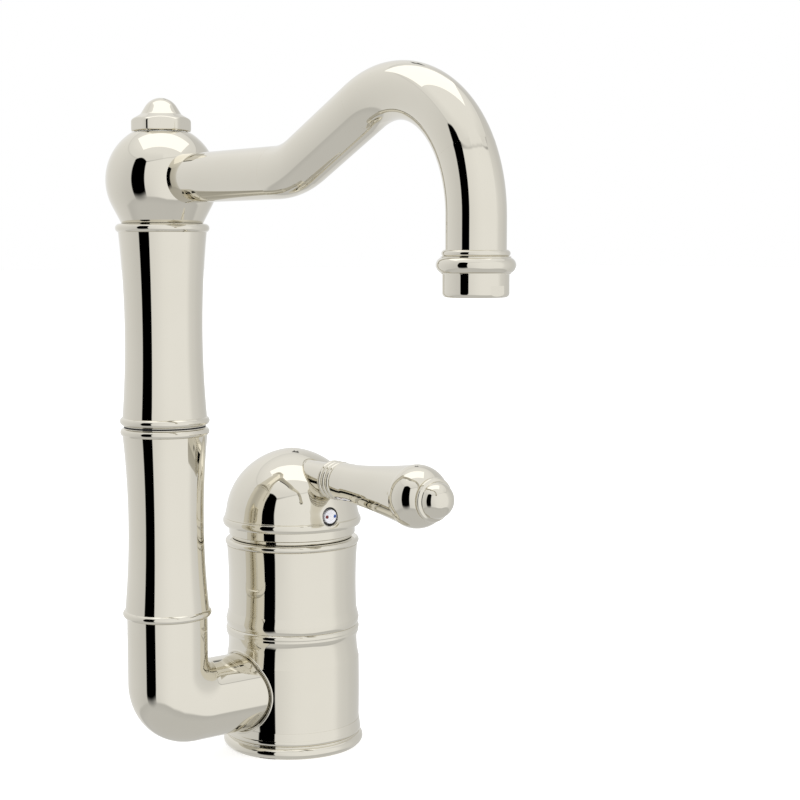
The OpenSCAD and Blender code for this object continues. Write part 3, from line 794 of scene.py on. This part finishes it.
# ------------------------------------------------------------------ finial nut
def make_nut():
    Z0, top = 222.9, 234.35
    pts = [(12, Z0 + 0.0), (12, 225.2), (9.5, 227.3), (7.0, 228.75), (6.45, 229.6), (5.6, 231.2)]
    pts = list(reversed(pts))
    dome = [(0, 234.35)] + arc(0, 228.05, 6.3, 89, 33, 50)
    pr, pz, _, _ = profile(dome + pts[1:], 0.28, turn=2.0, hmax=0.8)
    nu = len(pr)
    u0 = np.arange(nu)
    ph0 = math.radians(31)

    def hexr(W):
        acc = 0
        for i in range(6):
            acc = acc + np.maximum(np.cos(W - ph0 - math.radians(30 + 60 * i)), 0) ** 14
        return 9.25 / acc ** (1 / 14)

    def fn(U, W):
        r = np.interp(U, u0, pr)
        z = np.interp(U, u0, pz)
        h = hexr(W)
        k = 0.5
        d = np.clip(0.5 + 0.5 * (r - h) / k, 0, 1)
        m = r * (1 - d) + h * d - k * d * (1 - d)      # softened smaller of the two
        m = np.where(r < 1.0, r, m)
        b = np.clip(0.16 - (z - Z0), 0, 0.16)
        m = m - (0.16 - np.sqrt(np.maximum(0.0256 - b * b, 0)))
        return np.stack([m * np.cos(W), m * np.sin(W), z], -1) + np.array([CX, 0, 0])

    vs = np.arange(288) * 2 * math.pi / 288
    U, W = np.meshgrid(u0.astype(float), vs, indexing="ij")
    P = fn(U, W)
    e = 1e-3
    Uc = np.clip(U, 0.02, nu - 1.02)
    N = np.cross(fn(Uc + 0.02, W) - fn(Uc - 0.02, W), fn(Uc, W + e) - fn(Uc, W - e))
    N /= np.maximum(np.linalg.norm(N, axis=2), 1e-12)[:, :, None]
    if N[nu // 3, :, 2].mean() < 0:
        N = -N
    N[0] = (0, 0, 1)
    # flat underside, closed to the axis
    rings, norms = [P], [N]
    for f in (0.97, 0.6, 0.0):
        c = np.array([CX, 0, Z0])
        q = c + (P[-1] - c) * f
        q[:, 2] = Z0
        rings.append(q[None])
        norms.append(np.tile(np.array([0, 0, -1.0]), (1, len(vs), 1)))
    PP, NN = np.concatenate(rings), np.concatenate(norms)
    add(surface("finial_nut_v", PP, NN, pole0=True, pole1=True), "spout", "nickel", "finial_nut")


make_nut()
washer = [(5.1, 222.53), (8.98, 222.53), (8.98, 222.89), (5.1, 222.89)]
add(lathe("finial_washer_v", profile(washer[::-1], 0.04, closed=True), at_column, 128, True), "spout", "white_plastic", "finial_washer")


# ------------------------------------------------------------------ swivel ball
def make_ball():
    R, Z = 19.1, 206.3
    e = math.degrees(math.asin((197.3 - Z) / R))
    pts = [(8.2, 222.5), (9.9, 222.5)] + arc(0, Z, R, 57.5, e, 90) + [(14.05, 191.95), (13.9, 191.4), (8.2, 191.4)]
    add(lathe("swivel_ball_v", profile(pts, 0.1, closed=True, turn=2.5), at_column, 288, True), "spout", "nickel", "swivel_ball")


make_ball()


# ------------------------------------------------------------------ materials
def material(name, color, rough, metallic=0.0):
    """A material with the nodes to give it detail; constant values sit on the shader."""
    m = bpy.data.materials.new(name)
    m.use_nodes = True
    t = Tree(m.node_tree)
    b = t.new("ShaderNodeBsdfPrincipled")
    b.inputs["Base Color"].default_value = (*color, 1)
    b.inputs["Roughness"].default_value = rough
    b.inputs["Metallic"].default_value = metallic
    o = t.new("ShaderNodeOutputMaterial")
    t.link(b.outputs[0], o.inputs["Surface"])
    tc = t.new("ShaderNodeTexCoord")
    return m, t, b, tc.outputs["Object"]


def noise(t, vec, scale, detail=2.0, rough=0.5, stretch=None):
    if stretch is not None:
        mp = t.new("ShaderNodeMapping")
        mp.inputs["Scale"].default_value = stretch
        t.link(vec, mp.inputs["Vector"])
        vec = mp.outputs["Vector"]
    n = t.new("ShaderNodeTexNoise")
    n.inputs["Scale"].default_value = scale
    n.inputs["Detail"].default_value = detail
    n.inputs["Roughness"].default_value = rough
    t.link(vec, n.inputs["Vector"])
    return n.outputs["Fac"]


def tint(t, b, fac, a, c):
    """Base colour between a and c by fac."""
    n = t.new("ShaderNodeMix")
    n.data_type = "RGBA"
    t.link(fac, n.inputs[0])
    n.inputs[6].default_value = (*a, 1)
    n.inputs[7].default_value = (*c, 1)
    t.link(n.outputs[2], b.inputs["Base Color"])
    return n.outputs[2]


def bump(t, b, height, distance, strength=1.0):
    n = t.new("ShaderNodeBump")
    n.inputs["Strength"].default_value = strength
    n.inputs["Distance"].default_value = distance
    t.link(height, n.inputs["Height"])
    t.link(n.outputs[0], b.inputs["Normal"])


def polished_nickel():
    """Warm nickel plate buffed to a mirror: faint cloudiness, hairlines from the buff."""
    m, t, b, co = material("nickel_polished", (0.74, 0.71, 0.625), 0.03, 1.0)
    cloud = noise(t, co, 35, 3, 0.55)
    tint(t, b, t.step(cloud, 0.3, 0.7), (0.733, 0.703, 0.617), (0.747, 0.717, 0.633))
    hair = noise(t, co, 900, 2, 0.6, (1.0, 1.0, 14.0))
    hair = t.step(hair, 0.60, 0.72)
    smear = t.step(noise(t, co, 60, 4, 0.6), 0.45, 0.75)
    r = t.math("MULTIPLY_ADD", hair, 0.022, 0.018)
    r = t.math("MULTIPLY_ADD", smear, 0.014, r)
    t.link(r, b.inputs["Roughness"])
    wav = noise(t, co, 260, 1, 0.5)
    bump(t, b, wav, 2e-6, 0.35)
    return m


def brass():
    m, t, b, co = material("brass_turned", (0.70, 0.52, 0.26), 0.25, 1.0)
    f = noise(t, co, 120, 4, 0.6)
    tint(t, b, t.step(f, 0.35, 0.7), (0.74, 0.56, 0.28), (0.60, 0.43, 0.20))
    turn = noise(t, co, 300, 2, 0.5, (1.0, 1.0, 16.0))
    t.link(t.step(turn, 0.3, 0.7, 0.18, 0.34), b.inputs["Roughness"])
    bump(t, b, turn, 2e-5, 0.5)
    return m


def steel():
    m, t, b, co = material("steel_turned", (0.56, 0.56, 0.57), 0.25, 1.0)
    f = noise(t, co, 200, 3, 0.6, (1.0, 8.0, 8.0))
    tint(t, b, t.step(f, 0.3, 0.7), (0.50, 0.50, 0.52), (0.62, 0.62, 0.63))
    t.link(t.step(f, 0.3, 0.7, 0.2, 0.36), b.inputs["Roughness"])
    bump(t, b, f, 1.5e-5, 0.5)
    return m


def rubber():
    m, t, b, co = material("rubber_black", (0.012, 0.012, 0.013), 0.6)
    f = noise(t, co, 900, 4, 0.65)
    tint(t, b, f, (0.006, 0.006, 0.0065), (0.022, 0.022, 0.024))
    t.link(t.step(f, 0.3, 0.7, 0.5, 0.75), b.inputs["Roughness"])
    bump(t, b, f, 3e-5, 0.6)
    return m


def ceramic():
    m, t, b, co = material("ceramic_lapped", (0.85, 0.84, 0.80), 0.2)
    f = noise(t, co, 1500, 3, 0.6)
    tint(t, b, t.step(f, 0.4, 0.75), (0.86, 0.85, 0.81), (0.74, 0.72, 0.68))
    t.link(t.step(noise(t, co, 90, 2), 0.3, 0.7, 0.12, 0.26), b.inputs["Roughness"])
    bump(t, b, f, 6e-6, 0.4)
    return m


def plastic(name, a, c, r0, r1, grain=1400):
    m, t, b, co = material(name, a, r0)
    f = noise(t, co, grain, 3, 0.6)
    tint(t, b, t.step(f, 0.3, 0.7), a, c)
    t.link(t.step(noise(t, co, grain * 0.4, 2), 0.3, 0.7, r0, r1), b.inputs["Roughness"])
    bump(t, b, f, 8e-6, 0.6)
    return m


def index_face():
    """White moulded button with a red and a blue dot, and a faint moulded circle whose grey tone is painted shade of
    its step.
    """
    m, t, b, co = material("index_face", (0.87, 0.87, 0.92), 0.12)
    sep = t.new("ShaderNodeSeparateXYZ")
    t.link(co, sep.inputs[0])
    x = t.math("MULTIPLY", sep.outputs["X"], 1000)
    z = t.math("MULTIPLY_ADD", sep.outputs["Z"], 1000, -87.5)
    y = t.math("MULTIPLY", sep.outputs["Y"], 1000)

    def dist(cx, cz):
        dx, dz = t.math("SUBTRACT", x, cx), t.math("SUBTRACT", z, cz)
        return t.math("SQRT", t.math("ADD", t.math("MULTIPLY", dx, dx), t.math("MULTIPLY", dz, dz)))

    front = t.step(y, -24.2, -24.0, 1.0, 0.0)
    # painted shade: the moulded circle is greyed in colour, standing in for the shade of its step
    ring = t.math("ABSOLUTE", t.math("SUBTRACT", dist(0, 0), 1.15))
    ring = t.math("MULTIPLY", t.step(ring, 0.0, 0.16, 0.35, 0.0), front)
    grain = t.step(noise(t, co, 1800, 3), 0.3, 0.7)

    def mixc(f, a, c):
        n = t.new("ShaderNodeMix")
        n.data_type = "RGBA"
        t.link(f, n.inputs[0])
        for i, v in ((6, a), (7, c)):
            if isinstance(v, tuple):
                n.inputs[i].default_value = (*v, 1)
            else:
                t.link(v, n.inputs[i])
        return n.outputs[2]

    col = mixc(grain, (0.80, 0.80, 0.85), (0.83, 0.83, 0.875))
    # painted shade: mid-grey mixed into the colour along the moulded circle
    col = mixc(ring, col, (0.50, 0.50, 0.55))
    red = t.math("MULTIPLY", t.step(dist(-1.72, 0.05), 0.56, 0.70, 1.0, 0.0), front)
    blue = t.math("MULTIPLY", t.step(dist(1.72, 0.05), 0.56, 0.70, 1.0, 0.0), front)
    col = mixc(red, col, (0.16, 0.010, 0.010))
    col = mixc(blue, col, (0.012, 0.07, 0.30))
    t.link(col, b.inputs["Base Color"])
    t.link(t.step(grain, 0.0, 1.0, 0.10, 0.18), b.inputs["Roughness"])
    dip = t.math("SUBTRACT", 1.0, t.math("ADD", ring, t.math("MULTIPLY", t.math("ADD", red, blue), 0.4)))
    bump(t, b, dip, 6e-5, 0.6)
    return m


finish = {
    "nickel": polished_nickel(), "brass": brass(), "steel": steel(), "rubber": rubber(), "ceramic": ceramic(),
    "white_plastic": plastic("plastic_white", (0.80, 0.80, 0.78), (0.72, 0.72, 0.69), 0.32, 0.46),
    "black_plastic": plastic("plastic_black", (0.022, 0.022, 0.024), (0.04, 0.04, 0.043), 0.34, 0.5),
    "dark_plastic": plastic("plastic_dark", (0.020, 0.020, 0.021), (0.045, 0.045, 0.047), 0.38, 0.55),
    "index_white": index_face(),
}
slots = {s["node"]: s["material_slot"] for s in frame["record"]["subparts"]}
for n, ob in nodes.items():
    ob.data.materials.clear()
    ob.data.materials.append(finish[slots[n]])
for name, (ob, body, slot, stands_for) in pieces.items():
    ob.data.materials.clear()
    ob.data.materials.append(finish[slot])
    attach(ob, body)
    if stands_for:
        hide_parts(*stands_for)
